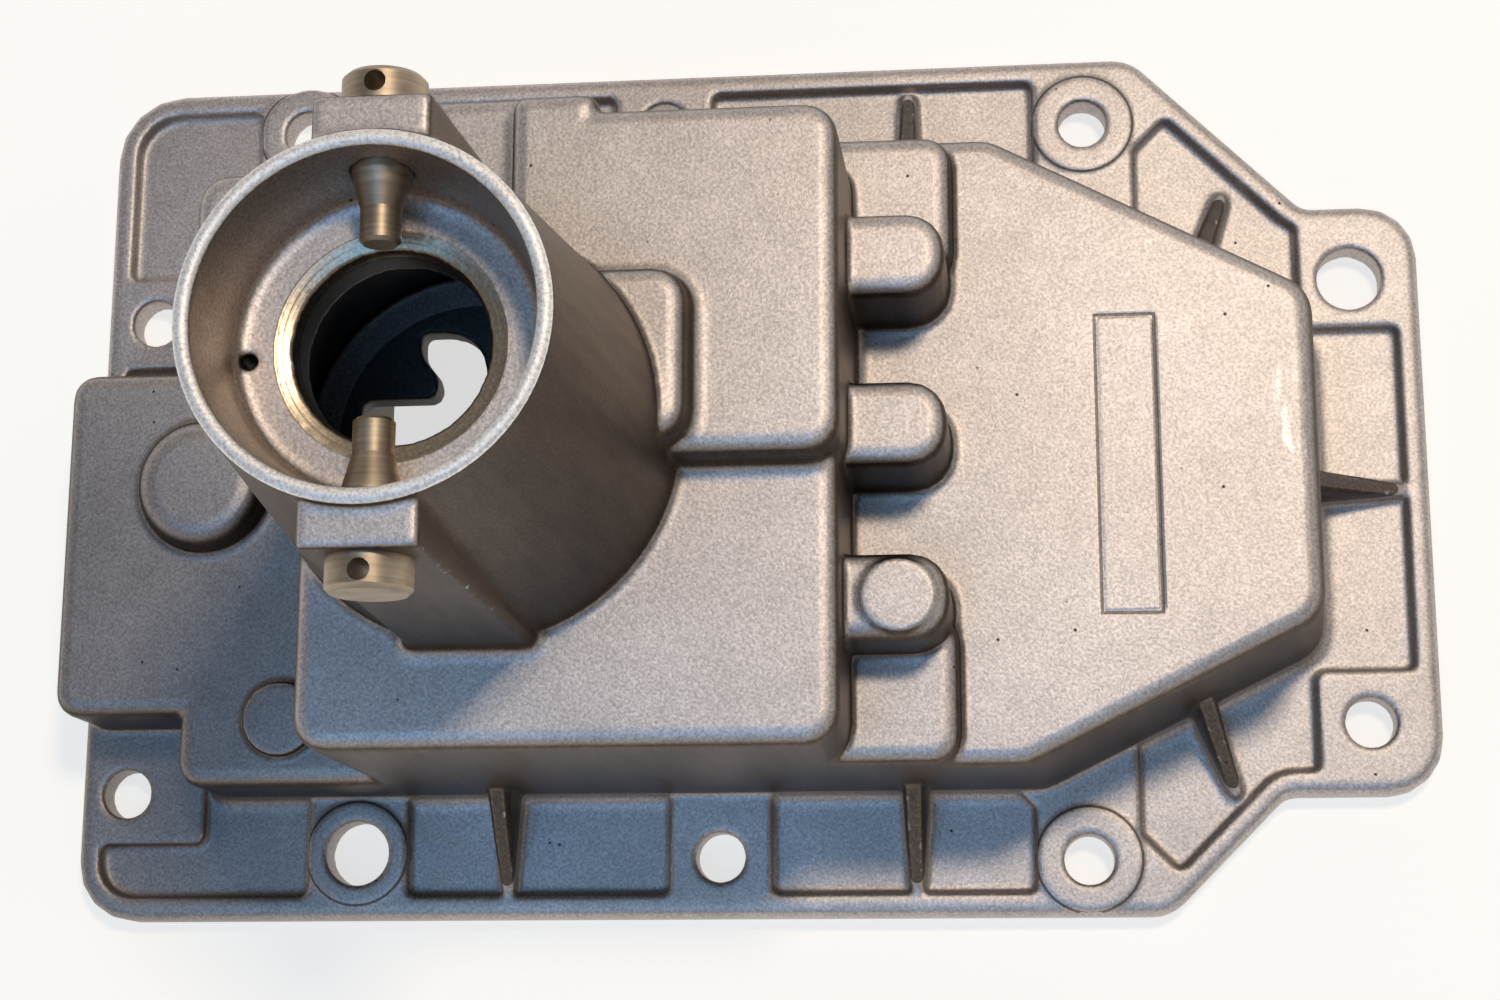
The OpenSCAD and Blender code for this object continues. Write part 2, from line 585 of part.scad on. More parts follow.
// The gate window through the turret's floor, with the finger that parts its two slots
module gate_window() {
    on_turret() translate([0, 0, block_h - gate_t - 1]) linear_extrude(gate_t + 2) polygon(outline([
        [-gate_left, -gate_near, 8],
        [gate_right, -gate_near, 5],
        [gate_right, gate_far, 6.5],
        [-slot_left, gate_far, 0.8],
        [-slot_left, 2 * finger_y, 3.5],
        [-slot_left + finger_tip, 1.5 * finger_y, 1.5],
        [-slot_left + finger_tip, finger_y, 1.6],
        [-gate_left, finger_y, 1.4]
    ]));
}

module pin_holes() {
    for (side = [-1, 1]) on_turret() translate([0, 0, pin_z]) rotate([-90 * side, 0, 0]) {
        translate([0, 0, tip_in + tip_l]) cylinder(d = shank_d + 2 * shank_fit, h = flat_out);
        translate([0, 0, head_seat]) cylinder(d = head_d + 1.2, h = flat_out);
    }
}

module bolt_holes() {
    for (p = BOLTS) translate([p.x, p.y, -1]) cylinder(d = bolt_d, h = flange_t + boss_rise + 2);
    for (p = DOWELS) translate([p.x, p.y, -1]) cylinder(d = dowel_d, h = flange_t + boss_rise + 2);
}

// The fine line round the blank marking panel on the nose
module panel_line() {
    x = nose_x - 36.4;
    panel = box_outline(x, x + panel_w, rail_y - 3.1 - panel_l / 2, rail_y - 3.1 + panel_l / 2, 1.5);
    translate([0, 0, nose_h - panel_d]) linear_extrude(2) difference() {
        polygon(outline(panel));
        polygon(outline(panel, 0.8));
    }
}

module cover_casting() {
    color(cast_colour) difference() {
        union() {
            flange();
            ribs();
            housing();
            bosses();
            turret();
        }
        hollow();
        turret_bore();
        gate_window();
        pin_holes();
        bolt_holes();
        panel_line();
    }
}

// A pivot pin on the +Z axis: thin end, cone, shank and a head with a cross hole
module pivot_pin() {
    tip_r = tip_d / 2;
    cone_start = tip_in + tip_l;
    difference() {
        rotate_extrude() polygon([
            [0, tip_in], [tip_r - 0.5, tip_in], [tip_r, tip_in + 0.5], [tip_r, cone_start],
            [shank_d / 2, cone_start + cone_l], [shank_d / 2, head_seat],
            [head_d / 2, head_seat], [head_d / 2, head_seat + head_l - 0.7],
            [head_d / 2 - 0.7, head_seat + head_l], [0, head_seat + head_l]
        ]);
        translate([0, 0, head_seat + head_l / 2]) rotate([90, 0, 0])
            cylinder(d = cross_d, h = 2 * head_d, center = true);
    }
}

module far_pivot_pin() {
    color(pin_colour) on_turret() translate([0, 0, pin_z]) rotate([-90, 0, 0]) pivot_pin();
}

module near_pivot_pin() {
    color(pin_colour) on_turret() translate([0, 0, pin_z]) rotate([90, 0, 0]) pivot_pin();
}

cover_casting();
far_pivot_pin();
near_pivot_pin();
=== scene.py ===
"""Shifter cover of a manual gearbox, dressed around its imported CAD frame.

The object lies on its mounting face. +Z is up through the lever turret, +X runs along the
shift rails to the tapered nose, and +Y goes to the far row of bolts. Everything is in metres.
"""
import json
import math

import bmesh
import bpy
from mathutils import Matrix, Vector


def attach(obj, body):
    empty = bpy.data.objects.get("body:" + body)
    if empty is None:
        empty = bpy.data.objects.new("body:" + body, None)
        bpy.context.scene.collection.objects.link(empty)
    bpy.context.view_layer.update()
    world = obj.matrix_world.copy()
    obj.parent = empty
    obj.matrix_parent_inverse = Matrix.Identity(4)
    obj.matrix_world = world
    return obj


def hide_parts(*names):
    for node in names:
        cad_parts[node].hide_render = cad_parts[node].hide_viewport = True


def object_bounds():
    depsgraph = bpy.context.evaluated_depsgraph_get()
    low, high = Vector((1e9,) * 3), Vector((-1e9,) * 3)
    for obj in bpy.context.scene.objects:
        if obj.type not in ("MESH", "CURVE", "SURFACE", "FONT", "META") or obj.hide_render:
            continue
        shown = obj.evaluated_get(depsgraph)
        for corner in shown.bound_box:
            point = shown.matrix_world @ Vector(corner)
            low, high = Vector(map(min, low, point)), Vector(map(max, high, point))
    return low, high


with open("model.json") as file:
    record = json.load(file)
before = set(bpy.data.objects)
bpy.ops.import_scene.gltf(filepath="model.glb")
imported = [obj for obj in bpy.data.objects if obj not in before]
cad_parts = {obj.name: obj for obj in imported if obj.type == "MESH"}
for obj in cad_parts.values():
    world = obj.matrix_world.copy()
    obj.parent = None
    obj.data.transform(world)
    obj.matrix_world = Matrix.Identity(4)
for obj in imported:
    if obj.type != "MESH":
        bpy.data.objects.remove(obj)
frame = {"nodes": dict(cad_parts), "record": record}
cad_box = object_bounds()

# Camera and stand
# A hand-held shot from above the near right part of the cover, 455 mm over the mounting
# face, on a pale table that the picture shows as plain white.
MM = 0.001
camera_data = bpy.data.cameras.new("photo_camera")
camera_data.sensor_width = 36
camera_data.lens = 61.4
camera_data.clip_start = 0.01
camera = bpy.data.objects.new("photo_camera", camera_data)
camera.location = (49.5 * MM, -102.1 * MM, 454.8 * MM)
camera.rotation_mode = "ZXY"
camera.rotation_euler = (math.radians(12.30), math.radians(6.19), math.radians(0.05))
bpy.context.scene.collection.objects.link(camera)
bpy.context.scene.camera = camera
bpy.context.scene.view_settings.view_transform = "Standard"


def linear(hex_colour):
    """An sRGB colour such as "c8b8a6" as linear red, green, blue and alpha."""
    parts = [int(hex_colour[i:i + 2], 16) / 255 for i in (0, 2, 4)]
    return [c / 12.92 if c <= 0.04045 else ((c + 0.055) / 1.055) ** 2.4 for c in parts] + [1.0]


def add(tree, kind, inputs=None, **settings):
    """Adds a node with its settings, and gives each input a value or another node's output."""
    node = tree.nodes.new(kind)
    for name, value in settings.items():
        setattr(node, name, value)
    for name, value in (inputs or {}).items():
        if isinstance(value, bpy.types.NodeSocket):
            tree.links.new(value, node.inputs[name])
        else:
            node.inputs[name].default_value = value
    return node


def new_material(name):
    """An empty node material, and the tree to build it in."""
    material = bpy.data.materials.new(name)
    material.use_nodes = True
    material.node_tree.nodes.clear()
    return material, material.node_tree


# Matt table paper: it keeps the cover's soft shadow, and shows pale to camera, metal and glass
table_paper, tree = new_material("matt_table_paper")
tooth = add(tree, "ShaderNodeTexNoise", {"Scale": 1 / (1.5 * MM), "Detail": 2.0})
weave = add(tree, "ShaderNodeBump", {"Height": tooth.outputs["Fac"], "Strength": 0.05, "Distance": 0.2 * MM})
paper = add(tree, "ShaderNodeBsdfPrincipled", {"Base Color": linear("c2b9aa"), "Roughness": 0.9,
                                               "Normal": weave.outputs["Normal"]})
rays = add(tree, "ShaderNodeLightPath")
camera_or_metal = add(tree, "ShaderNodeMath", {0: rays.outputs["Is Camera Ray"],
                                               1: rays.outputs["Is Glossy Ray"]}, operation="MAXIMUM")
seen = add(tree, "ShaderNodeMath", {0: camera_or_metal.outputs[0], 1: rays.outputs["Is Transmission Ray"]},
           operation="MAXIMUM")
lift = add(tree, "ShaderNodeMath", {0: seen.outputs[0], 1: 0.68}, operation="MULTIPLY")
glow = add(tree, "ShaderNodeEmission", {"Color": linear("ffffff"), "Strength": lift.outputs[0]})
both = add(tree, "ShaderNodeAddShader", {0: paper.outputs[0], 1: glow.outputs[0]})
add(tree, "ShaderNodeOutputMaterial", {"Surface": both.outputs[0]})

table_mesh = bpy.data.meshes.new("table")
reach = 2.5
table_z = cad_box[0][2] - 0.3 * MM
table_mesh.from_pydata([(-reach, -reach, table_z), (reach, -reach, table_z),
                        (reach, reach, table_z), (-reach, reach, table_z)], [], [(0, 1, 2, 3)])
table_mesh.materials.append(table_paper)
table = bpy.data.objects.new("table", table_mesh)
bpy.context.scene.collection.objects.link(table)

# Room light: pale walls all round, and a dimmer ceiling
world = bpy.data.worlds.new("soft_room")
world.use_nodes = True
tree = world.node_tree
tree.nodes.clear()
skyward = add(tree, "ShaderNodeTexCoord").outputs["Generated"]
skyward = add(tree, "ShaderNodeSeparateXYZ", {0: skyward}).outputs["Z"]
glow = add(tree, "ShaderNodeMapRange", {"Value": skyward, "From Min": 0.10, "From Max": 0.74, "To Min": 0.88,
                                        "To Max": 0.08}, interpolation_type="SMOOTHSTEP").outputs[0]
room = add(tree, "ShaderNodeBackground", {"Color": linear("f0f0f2"), "Strength": glow})
add(tree, "ShaderNodeOutputWorld", {"Surface": room.outputs[0]})
bpy.context.scene.world = world


def lamp(name, colour, watts, size, place, aim):
    """A square soft box at a place, turned to face a point."""
    data = bpy.data.lights.new(name, "AREA")
    data.energy, data.size, data.color = watts, size, linear(colour)[:3]
    box = bpy.data.objects.new(name, data)
    box.location = place
    box.rotation_euler = (Vector(aim) - Vector(place)).to_track_quat("-Z", "Y").to_euler()
    bpy.context.scene.collection.objects.link(box)


lamp("warm_key", "fff0dc", 2.8, 0.12, (0.20, 0.25, 0.85), (0, 0, 0.03))
lamp("cool_window", "86bef8", 5.2, 1.0, (-0.20, -0.45, 1.40), (0, 0, 0.03))

# Cover casting
# One high pressure die casting in an aluminium silicon alloy, shot blasted from above, with
# the turret's rim, seat and bore, the bolt bosses and the mounting face machined afterwards.
lever_bore = next(m for m in frame["record"]["mounts"] if m["name"] == "lever_bore")
turret_axis = Vector((lever_bore["pos_m"][0], lever_bore["pos_m"][1], 0))

casting_mesh = frame["nodes"]["cover_casting"].data.copy()
casting_mesh.name = "cover_casting_skin"
shape = bmesh.new()
shape.from_mesh(casting_mesh)
bmesh.ops.remove_doubles(shape, verts=shape.verts, dist=2e-6)
shape.to_mesh(casting_mesh)
shape.free()
casting = bpy.data.objects.new("cover_casting_skin", casting_mesh)
bpy.context.scene.collection.objects.link(casting)


def settle(piece):
    """Turns a piece's live modifiers into its plain mesh."""
    bpy.context.view_layer.update()
    finished = bpy.data.meshes.new_from_object(piece.evaluated_get(bpy.context.evaluated_depsgraph_get()))
    piece.modifiers.clear()
    piece.data = finished


# Blasting rounds every edge that the die left sharp, so the skin is remade in small cells
# and its edges are eased, less on what was machined and along the fine panel line
cell = 0.5 * MM
skin_cells = casting.modifiers.new("skin_cells", "REMESH")
skin_cells.mode = "VOXEL"
skin_cells.voxel_size = cell
settle(casting)
panel_middle, panel_half = Vector((67.1 * MM, -6.5 * MM)), Vector((5.3 * MM, 25.5 * MM))
eased = casting.vertex_groups.new(name="eased")
zones = {0.2: [], 0.5: [], 1.0: []}
for vertex in casting.data.vertices:
    from_axis = (vertex.co.xy - turret_axis.xy).length
    off_panel = vertex.co.xy - panel_middle
    if vertex.co.z > 140.6 * MM:
        zones[0.2].append(vertex.index)
    elif from_axis < 16.8 * MM and 115 * MM < vertex.co.z < 126 * MM:
        zones[0.5].append(vertex.index)
    elif abs(off_panel.x) < 6.5 * MM and abs(off_panel.y) < 26.7 * MM and vertex.co.z > 40 * MM:
        zones[0.2].append(vertex.index)
    else:
        zones[1.0].append(vertex.index)
for weight, indices in zones.items():
    eased.add(indices, weight, "REPLACE")
# The picture's seat is flatter than the frame's 45 degree cone, so here the skin leaves the
# frame: it slopes by about 20 degrees from the same outer edge
seat_top, seat_r, seat_slope = 125 * MM, 16.1 * MM, 0.36
for vertex in casting.data.vertices:
    from_axis = (vertex.co.xy - turret_axis.xy).length
    if 13.75 * MM < from_axis < seat_r and 122 * MM < vertex.co.z < seat_top:
        vertex.co.z = seat_top - (seat_r - from_axis) * seat_slope
soft = casting.modifiers.new("soft_edges", "SMOOTH")
soft.factor = 0.5
soft.iterations = 5
soft.vertex_group = "eased"
settle(casting)

# Cover casting: its skin
# Shot blasting leaves pale, finely peened flats. The steep walls are drawn smoother, in a brown
# die skin that painted shade darkens further. Corners take grit and painted shade, and edges are rubbed
# bright in handling.
cast_skin, tree = new_material("shot_blasted_cast_aluminium")
where = add(tree, "ShaderNodeTexCoord")
place = where.outputs["Object"]
height = add(tree, "ShaderNodeSeparateXYZ", {0: place}).outputs["Z"]
facing = add(tree, "ShaderNodeSeparateXYZ", {0: where.outputs["Normal"]}).outputs["Z"]
plan = add(tree, "ShaderNodeVectorMath", {0: place, 1: (1, 1, 0)}, operation="MULTIPLY").outputs[0]
radius = add(tree, "ShaderNodeVectorMath", {0: plan, 1: turret_axis}, operation="DISTANCE").outputs["Value"]

# Peening dimples, drawn 0.5 mm apart because the real 0.3 mm would not show, and turned
# askew so that the noise's own grid doesn't show on the flats
askew = add(tree, "ShaderNodeMapping", {"Vector": place, "Rotation": (0.6, 0.4, 0.9)}).outputs[0]
dimples = add(tree, "ShaderNodeTexNoise", {"Vector": askew, "Scale": 1 / (0.5 * MM), "Detail": 2.0,
                                           "Roughness": 0.7}).outputs["Fac"]
# Slow changes of shade across a flat, and smaller smudges on them
clouds = add(tree, "ShaderNodeTexNoise", {"Vector": place, "Scale": 1 / (34 * MM), "Detail": 3.0,
                                          "Roughness": 0.55}).outputs["Fac"]
smudges = add(tree, "ShaderNodeTexNoise", {"Vector": place, "Scale": 1 / (7 * MM), "Detail": 4.0,
                                           "Roughness": 0.62}).outputs["Fac"]
flat_tint = add(tree, "ShaderNodeMix", {"Factor": clouds, "A": linear("c6bbb4"), "B": linear("e1d7d1")},
                data_type="RGBA").outputs["Result"]
# Die skin on the steep walls, darkened further by painted shade, with drag marks that run up the draft
drag_place = add(tree, "ShaderNodeMapping", {"Vector": place, "Scale": (1.0, 1.0, 0.12)}).outputs[0]
drag = add(tree, "ShaderNodeTexNoise", {"Vector": drag_place, "Scale": 1 / (2.4 * MM),
                                        "Detail": 3.0}).outputs["Fac"]
wall_skin_and_painted_shade = add(tree, "ShaderNodeMix", {"Factor": drag, "A": linear("443930"), "B": linear("66594c")},
                data_type="RGBA").outputs["Result"]
hollow = add(tree, "ShaderNodeAttribute", attribute_name="hollow").outputs["Fac"]
wall_skin_and_shade_mask = add(tree, "ShaderNodeMapRange", {"Value": facing, "From Min": 0.95, "From Max": 0.50},
              interpolation_type="SMOOTHSTEP").outputs[0]
# Concave corners below 118 mm take the walls' skin and painted shade as well
corner_painted_shade = add(tree, "ShaderNodeMapRange", {"Value": hollow, "From Min": 0.08, "From Max": 0.38,
                                             "To Max": 0.80}, interpolation_type="SMOOTHSTEP").outputs[0]
under_cup = add(tree, "ShaderNodeMath", {0: height, 1: 118 * MM}, operation="LESS_THAN").outputs[0]
corner_painted_shade = add(tree, "ShaderNodeMath", {0: corner_painted_shade, 1: under_cup}, operation="MULTIPLY").outputs[0]
wall_skin_and_shade_mask = add(tree, "ShaderNodeMath", {0: wall_skin_and_shade_mask, 1: corner_painted_shade}, operation="MAXIMUM").outputs[0]
# On the flange's low steps the walls' skin and painted shade are weakened, and the ribs, the only
# pieces between the flange and the shelf, take the walls' brown skin and painted shade on every side
above_flange = add(tree, "ShaderNodeMapRange", {"Value": height, "From Min": 7 * MM, "From Max": 9.5 * MM,
                                                "To Min": 0.28}).outputs[0]
wall_skin_and_shade_mask = add(tree, "ShaderNodeMath", {0: wall_skin_and_shade_mask, 1: above_flange}, operation="MULTIPLY").outputs[0]
on_ribs = add(tree, "ShaderNodeMath", {0: height, 1: 14.4 * MM, 2: 7.2 * MM}, operation="COMPARE").outputs[0]
ribs_skin_and_painted_shade = add(tree, "ShaderNodeMath", {0: on_ribs, 1: 0.9}, operation="MULTIPLY").outputs[0]
wall_skin_and_shade_mask = add(tree, "ShaderNodeMath", {0: wall_skin_and_shade_mask, 1: ribs_skin_and_painted_shade}, operation="MAXIMUM").outputs[0]
cast_tint = add(tree, "ShaderNodeMix", {"Factor": wall_skin_and_shade_mask, "A": flat_tint, "B": wall_skin_and_painted_shade},
                data_type="RGBA").outputs["Result"]
cast_rough = add(tree, "ShaderNodeMapRange", {"Value": wall_skin_and_shade_mask, "To Min": 0.53, "To Max": 0.48}).outputs[0]

# Inside the turret's wall, which narrows upward by its taper from its radius at the table
turret_taper, wall_r_at_table = 0.098, 37.1 * MM
leant = add(tree, "ShaderNodeMath", {0: height, 1: turret_taper, 2: radius},
            operation="MULTIPLY_ADD").outputs[0]
within_wall = add(tree, "ShaderNodeMath", {0: leant, 1: wall_r_at_table}, operation="LESS_THAN").outputs[0]

# Zones round the turret's axis, each with its middle radius, half width, middle height, half
# height, tint and roughness: rough inside, gate, cup wall, turned bore, seat cone and rim
tint, rough = cast_tint, cast_rough
# The dark tints of the rough inside, the gate and the turned bore are painted shade; the rough inside is also
# dark as cast
for middle_r, half_r, middle_z, half_z, shade, finish in (
        (0, 40, 93, 22.4, "2b2826", 0.60), (0, 22, 67, 3.6, "77726e", 0.60),
        (22.4, 1.8, 133.2, 7.6, "b9aa9c", 0.44), (0, 14.6, 119.3, 4.6, "3d3733", 0.45),
        (15.0, 1.5, 123.8, 1.5, "cdbca4", 0.35), (24.5, 2.1, 141.4, 0.7, "faf4ee", 0.62)):
    by_radius = add(tree, "ShaderNodeMath", {0: radius, 1: middle_r * MM, 2: half_r * MM},
                    operation="COMPARE")
    by_height = add(tree, "ShaderNodeMath", {0: height, 1: middle_z * MM, 2: half_z * MM},
                    operation="COMPARE")
    inside = add(tree, "ShaderNodeMath", {0: by_radius.outputs[0], 1: by_height.outputs[0]},
                 operation="MULTIPLY").outputs[0]
    if half_r == 40:
        inside = add(tree, "ShaderNodeMath", {0: inside, 1: within_wall}, operation="MULTIPLY").outputs[0]
    tint = add(tree, "ShaderNodeMix", {"Factor": inside, "A": tint, "B": linear(shade)},
               data_type="RGBA").outputs["Result"]
    rough = add(tree, "ShaderNodeMix", {"Factor": inside, "A": rough, "B": finish}).outputs["Result"]

# Corners darkened with grit and painted shade, and edges rubbed bright, from the skin's own curvature
grit_and_painted_shade = add(tree, "ShaderNodeMapRange", {"Value": hollow, "From Min": 0.22, "From Max": 0.85,
                                        "To Max": 0.32}).outputs[0]
grit_and_painted_shade = add(tree, "ShaderNodeMath", {0: grit_and_painted_shade, 1: smudges}, operation="MULTIPLY").outputs[0]
grit_and_painted_shade = add(tree, "ShaderNodeMath", {0: grit_and_painted_shade, 1: 1.7}, operation="MULTIPLY", use_clamp=True).outputs[0]
grit_and_painted_shade = add(tree, "ShaderNodeMath", {0: grit_and_painted_shade, 1: under_cup}, operation="MULTIPLY").outputs[0]
rub = add(tree, "ShaderNodeMapRange", {"Value": hollow, "From Min": -0.45, "From Max": -1.05,
                                       "To Max": 0.30}).outputs[0]
rub_patch = add(tree, "ShaderNodeMapRange", {"Value": smudges, "From Min": 0.42, "From Max": 0.66}).outputs[0]
rub = add(tree, "ShaderNodeMath", {0: rub, 1: rub_patch}, operation="MULTIPLY").outputs[0]
rub = add(tree, "ShaderNodeMath", {0: rub, 1: on_ribs}, operation="SUBTRACT", use_clamp=True).outputs[0]
tint = add(tree, "ShaderNodeMix", {"Factor": grit_and_painted_shade, "A": tint, "B": linear("3f362f")},
           data_type="RGBA").outputs["Result"]
tint = add(tree, "ShaderNodeMix", {"Factor": rub, "A": tint, "B": linear("e4dcd5")},
           data_type="RGBA").outputs["Result"]

rough = add(tree, "ShaderNodeMath", {0: grit_and_painted_shade, 1: 0.22, 2: rough}, operation="MULTIPLY_ADD").outputs[0]

# Small bright nicks on the edges, and a pale scuff along the nose's right shoulder
nicks = add(tree, "ShaderNodeTexNoise", {"Vector": place, "Scale": 1 / (2.0 * MM),
                                         "Detail": 1.0}).outputs["Fac"]
nicks = add(tree, "ShaderNodeMapRange", {"Value": nicks, "From Min": 0.64, "From Max": 0.69}).outputs[0]
edge = add(tree, "ShaderNodeMapRange", {"Value": hollow, "From Min": -0.25, "From Max": -0.55}).outputs[0]
nicks = add(tree, "ShaderNodeMath", {0: nicks, 1: edge}, operation="MULTIPLY").outputs[0]
beside = add(tree, "ShaderNodeVectorMath", {0: place, 1: (93.5 * MM, -4 * MM, 41.5 * MM)},
             operation="SUBTRACT").outputs[0]
beside = add(tree, "ShaderNodeVectorMath", {0: beside, 1: (1 / (3.2 * MM), 1 / (24 * MM), 1 / (4 * MM))},
             operation="MULTIPLY").outputs[0]
beside = add(tree, "ShaderNodeVectorMath", {0: beside}, operation="LENGTH").outputs["Value"]
beside = add(tree, "ShaderNodeMapRange", {"Value": beside, "From Min": 1.0, "From Max": 0.4}).outputs[0]
streak_place = add(tree, "ShaderNodeMapping", {"Vector": place, "Scale": (1.0, 0.22, 1.0)}).outputs[0]
streaks = add(tree, "ShaderNodeTexNoise", {"Vector": streak_place, "Scale": 1 / (1.6 * MM),
                                           "Detail": 3.0}).outputs["Fac"]
streaks = add(tree, "ShaderNodeMapRange", {"Value": streaks, "From Min": 0.52, "From Max": 0.62}).outputs[0]
scuff = add(tree, "ShaderNodeMath", {0: beside, 1: streaks}, operation="MULTIPLY").outputs[0]
scuff = add(tree, "ShaderNodeMath", {0: scuff, 1: 0.85}, operation="MULTIPLY").outputs[0]
bright = add(tree, "ShaderNodeMath", {0: nicks, 1: scuff}, operation="MAXIMUM").outputs[0]
tint = add(tree, "ShaderNodeMix", {"Factor": bright, "A": tint, "B": linear("f2ede8")},
           data_type="RGBA").outputs["Result"]

# Painted shade in fine dark lines: along the engraved panel's outline, and round the cutter's edge at four
# bolt bosses
across = add(tree, "ShaderNodeVectorMath", {0: place, 1: (panel_middle.x, panel_middle.y, 42 * MM)},
             operation="SUBTRACT").outputs[0]
across = add(tree, "ShaderNodeVectorMath", {0: across}, operation="ABSOLUTE").outputs[0]
across = add(tree, "ShaderNodeVectorMath", {0: across, 1: (panel_half.x, panel_half.y, 1.0 * MM)},
             operation="SUBTRACT").outputs[0]
off = add(tree, "ShaderNodeSeparateXYZ", {0: across})
outline = add(tree, "ShaderNodeMath", {0: off.outputs["X"], 1: off.outputs["Y"]},
              operation="MAXIMUM").outputs[0]
outline = add(tree, "ShaderNodeMath", {0: outline, 1: -0.4 * MM, 2: 0.27 * MM},
              operation="COMPARE").outputs[0]
on_top = add(tree, "ShaderNodeMath", {0: off.outputs["Z"], 1: 0.0}, operation="LESS_THAN").outputs[0]
painted_shade_lines = add(tree, "ShaderNodeMath", {0: outline, 1: on_top}, operation="MULTIPLY").outputs[0]
for x, y in ((-83.5, 69.2), (62.1, 65.5), (-69.4, -66.6), (59.9, -68.6)):
    from_bolt = add(tree, "ShaderNodeVectorMath", {0: plan, 1: (x * MM, y * MM, 0)}, operation="DISTANCE")
    ring = add(tree, "ShaderNodeMath", {0: from_bolt.outputs["Value"], 1: 9.15 * MM, 2: 0.22 * MM},
               operation="COMPARE").outputs[0]
    painted_shade_lines = add(tree, "ShaderNodeMath", {0: painted_shade_lines, 1: ring}, operation="MAXIMUM").outputs[0]
upward = add(tree, "ShaderNodeMath", {0: facing, 1: 0.5}, operation="GREATER_THAN").outputs[0]
painted_shade_lines = add(tree, "ShaderNodeMath", {0: painted_shade_lines, 1: upward}, operation="MULTIPLY").outputs[0]
painted_shade_lines = add(tree, "ShaderNodeMath", {0: painted_shade_lines, 1: 0.72}, operation="MULTIPLY").outputs[0]
tint = add(tree, "ShaderNodeMix", {"Factor": painted_shade_lines, "A": tint, "B": linear("463c35")},
           data_type="RGBA").outputs["Result"]

# Salt and pepper of the blasted grain, and a few open pores 0.4 mm wide
salt = add(tree, "ShaderNodeMapRange", {"Value": dimples, "From Min": 0.30, "From Max": 0.70, "To Min": 0.72,
                                        "To Max": 1.28}).outputs[0]
smudge_shade = add(tree, "ShaderNodeMapRange", {"Value": smudges, "From Min": 0.30, "From Max": 0.70,
                                                "To Min": 0.93, "To Max": 1.06}).outputs[0]
salt = add(tree, "ShaderNodeMath", {0: salt, 1: smudge_shade}, operation="MULTIPLY").outputs[0]
tint = add(tree, "ShaderNodeMix", {"Factor": 1.0, "A": tint, "B": salt}, data_type="RGBA",
           blend_type="MULTIPLY").outputs["Result"]
# The low left end is darker than these lamps make it, so a painted shade is placed
# there to darken it. Skin or light, one picture can't tell, so a shade placed by eye
# stands in for it
left_end = (-118 * MM, -40 * MM, 20 * MM)
from_left = add(tree, "ShaderNodeVectorMath", {0: place, 1: left_end}, operation="DISTANCE").outputs["Value"]
left_shade = add(tree, "ShaderNodeMapRange", {"Value": from_left, "From Min": 25 * MM, "From Max": 90 * MM,
                                              "To Min": 0.62}, interpolation_type="SMOOTHSTEP").outputs[0]
tint = add(tree, "ShaderNodeMix", {"Factor": 1.0, "A": tint, "B": left_shade}, data_type="RGBA",
           blend_type="MULTIPLY").outputs["Result"]
pores = add(tree, "ShaderNodeTexVoronoi", {"Vector": place, "Scale": 1 / (6.5 * MM)})
pore = add(tree, "ShaderNodeMapRange", {"Value": pores.outputs["Distance"], "From Min": 0.050,
                                        "From Max": 0.025})
few = add(tree, "ShaderNodeSeparateColor", {0: pores.outputs["Color"]})
few = add(tree, "ShaderNodeMath", {0: few.outputs[0], 1: 0.55}, operation="GREATER_THAN").outputs[0]
pore = add(tree, "ShaderNodeMath", {0: pore.outputs[0], 1: few}, operation="MULTIPLY").outputs[0]
tint = add(tree, "ShaderNodeMix", {"Factor": pore, "A": tint, "B": linear("4a4038")},
           data_type="RGBA").outputs["Result"]

# Turning marks on the seat, drawn 0.45 mm apart so that they show
marks = add(tree, "ShaderNodeMath", {0: radius, 1: 1 / (0.45 * MM)}, operation="MULTIPLY").outputs[0]
marks = add(tree, "ShaderNodeTexNoise", {"W": marks, "Scale": 1.0, "Detail": 1.0},
            noise_dimensions="1D").outputs["Fac"]
turned = add(tree, "ShaderNodeMath", {0: rough, 1: 0.36}, operation="LESS_THAN").outputs[0]
relief = add(tree, "ShaderNodeMix", {"Factor": turned, "A": dimples, "B": marks}).outputs["Result"]
relief = add(tree, "ShaderNodeMath", {0: relief, 1: pore}, operation="SUBTRACT").outputs[0]
peened = add(tree, "ShaderNodeBump", {"Height": relief, "Strength": 0.45,
                                      "Distance": 0.09 * MM}).outputs["Normal"]
skin = add(tree, "ShaderNodeBsdfPrincipled", {"Base Color": tint, "Roughness": rough, "Normal": peened,
                                              "Metallic": 1.0})
add(tree, "ShaderNodeOutputMaterial", {"Surface": skin.outputs[0]})

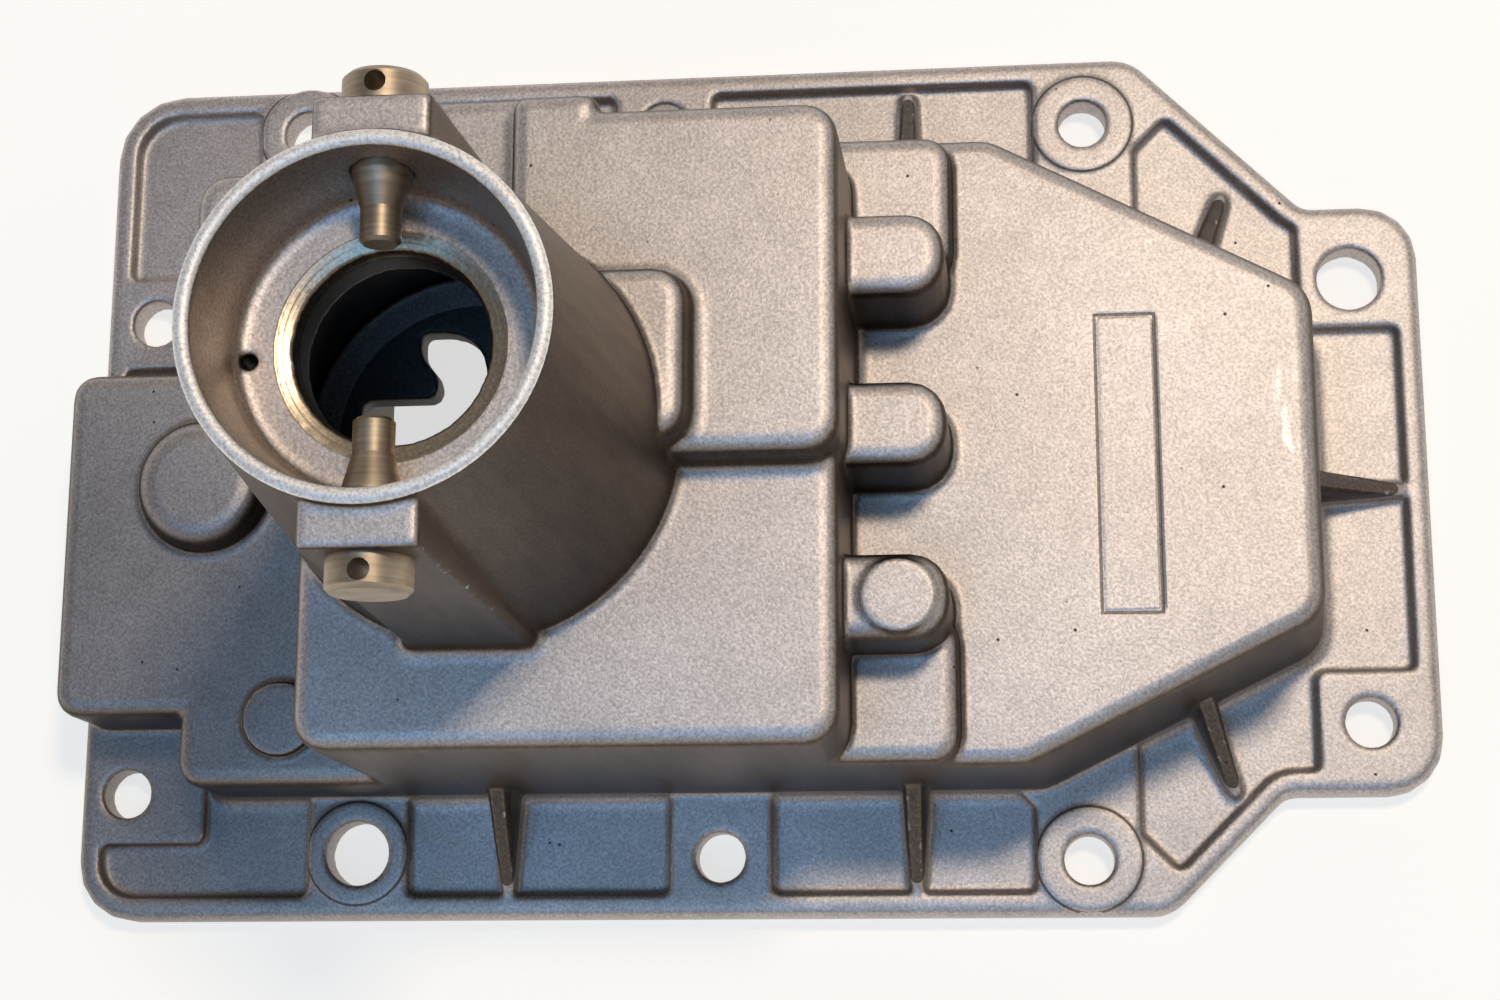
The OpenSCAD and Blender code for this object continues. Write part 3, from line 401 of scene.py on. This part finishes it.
# The skin's curvature: how far a point lies below (above 0) or over the mean of its
# neighbours, in cells, kept on the mesh as "hollow" for the grit and painted shade in corners and the rubbed
# edges
shade_and_wear_curvature = bpy.data.node_groups.new("corner_shade_and_edge_wear", "GeometryNodeTree")
shade_and_wear_curvature.interface.new_socket("Skin", in_out="INPUT", socket_type="NodeSocketGeometry")
shade_and_wear_curvature.interface.new_socket("Cell", in_out="INPUT", socket_type="NodeSocketFloat")
shade_and_wear_curvature.interface.new_socket("Spread", in_out="INPUT", socket_type="NodeSocketInt")
shade_and_wear_curvature.interface.new_socket("Skin", in_out="OUTPUT", socket_type="NodeSocketGeometry")
given = add(shade_and_wear_curvature, "NodeGroupInput")
point = add(shade_and_wear_curvature, "GeometryNodeInputPosition").outputs[0]
mean = add(shade_and_wear_curvature, "GeometryNodeBlurAttribute", {"Value": point, "Iterations": given.outputs["Spread"]},
           data_type="FLOAT_VECTOR").outputs[0]
sunk = add(shade_and_wear_curvature, "ShaderNodeVectorMath", {0: mean, 1: point}, operation="SUBTRACT").outputs[0]
outward = add(shade_and_wear_curvature, "GeometryNodeInputNormal").outputs[0]
sunk = add(shade_and_wear_curvature, "ShaderNodeVectorMath", {0: sunk, 1: outward}, operation="DOT_PRODUCT").outputs["Value"]
sunk = add(shade_and_wear_curvature, "ShaderNodeMath", {0: sunk, 1: given.outputs["Cell"]}, operation="DIVIDE").outputs[0]
kept = add(shade_and_wear_curvature, "GeometryNodeStoreNamedAttribute", {"Geometry": given.outputs["Skin"], "Name": "hollow",
                                                     "Value": sunk}, data_type="FLOAT", domain="POINT")
plain = add(shade_and_wear_curvature, "GeometryNodeRealizeInstances", {"Geometry": kept.outputs[0]})
dressed = add(shade_and_wear_curvature, "GeometryNodeSetMaterial", {"Geometry": plain.outputs[0], "Material": cast_skin})
add(shade_and_wear_curvature, "NodeGroupOutput", {"Skin": dressed.outputs[0]})
shaded_and_worn = casting.modifiers.new("shaded_and_worn", "NODES")
shaded_and_worn.node_group = shade_and_wear_curvature
for socket in shade_and_wear_curvature.interface.items_tree:
    if socket.in_out == "INPUT" and socket.name == "Cell":
        shaded_and_worn[socket.identifier] = cell
    if socket.in_out == "INPUT" and socket.name == "Spread":
        shaded_and_worn[socket.identifier] = 6
thinner = casting.modifiers.new("thinner", "DECIMATE")
thinner.ratio = 190000 / (2 * len(casting.data.polygons))
settle(casting)
casting.vertex_groups.clear()
casting.data.shade_smooth()
casting.data.materials.clear()
casting.data.materials.append(cast_skin)
flat_first = casting.modifiers.new("flat_first", "WEIGHTED_NORMAL")
flat_first.keep_sharp = True
flat_first.weight = 60
settle(casting)
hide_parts("cover_casting")
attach(casting, "root")

# Pivot pins
# Two equal steel pins, turned from bar, each through one of the turret's flats. The thin
# ends reach into the cup, where the lever turns on them, and each head has a cross hole.
pin_steel, tree = new_material("turned_steel")
place = add(tree, "ShaderNodeTexCoord").outputs["Object"]
along = add(tree, "ShaderNodeMapping", {"Vector": place, "Scale": (0.02, 1.0, 0.02)}).outputs[0]
# Tool marks round the pin, drawn 0.5 mm apart so that they show
marks = add(tree, "ShaderNodeTexNoise", {"Vector": along, "Scale": 1 / (0.5 * MM),
                                         "Detail": 2.0}).outputs["Fac"]
stain = add(tree, "ShaderNodeTexNoise", {"Vector": place, "Scale": 1 / (3.5 * MM),
                                         "Detail": 4.0}).outputs["Fac"]
brown = add(tree, "ShaderNodeMix", {"Factor": stain, "A": linear("8a7a66"), "B": linear("cbb9a2")},
            data_type="RGBA").outputs["Result"]
shine = add(tree, "ShaderNodeMapRange", {"Value": marks, "From Min": 0.3, "From Max": 0.7, "To Min": 0.82,
                                         "To Max": 1.16}).outputs[0]
brown = add(tree, "ShaderNodeMix", {"Factor": 1.0, "A": brown, "B": shine}, data_type="RGBA",
            blend_type="MULTIPLY").outputs["Result"]
worn_rough = add(tree, "ShaderNodeMapRange", {"Value": stain, "To Min": 0.42, "To Max": 0.56}).outputs[0]
grooves = add(tree, "ShaderNodeBump", {"Height": marks, "Strength": 0.4,
                                       "Distance": 0.05 * MM}).outputs["Normal"]
steel = add(tree, "ShaderNodeBsdfPrincipled", {"Base Color": brown, "Roughness": worn_rough,
                                               "Normal": grooves, "Metallic": 1.0})
add(tree, "ShaderNodeOutputMaterial", {"Surface": steel.outputs[0]})
for name in ("far_pivot_pin", "near_pivot_pin"):
    pin = frame["nodes"][name]
    pin.data.materials.clear()
    pin.data.materials.append(pin_steel)
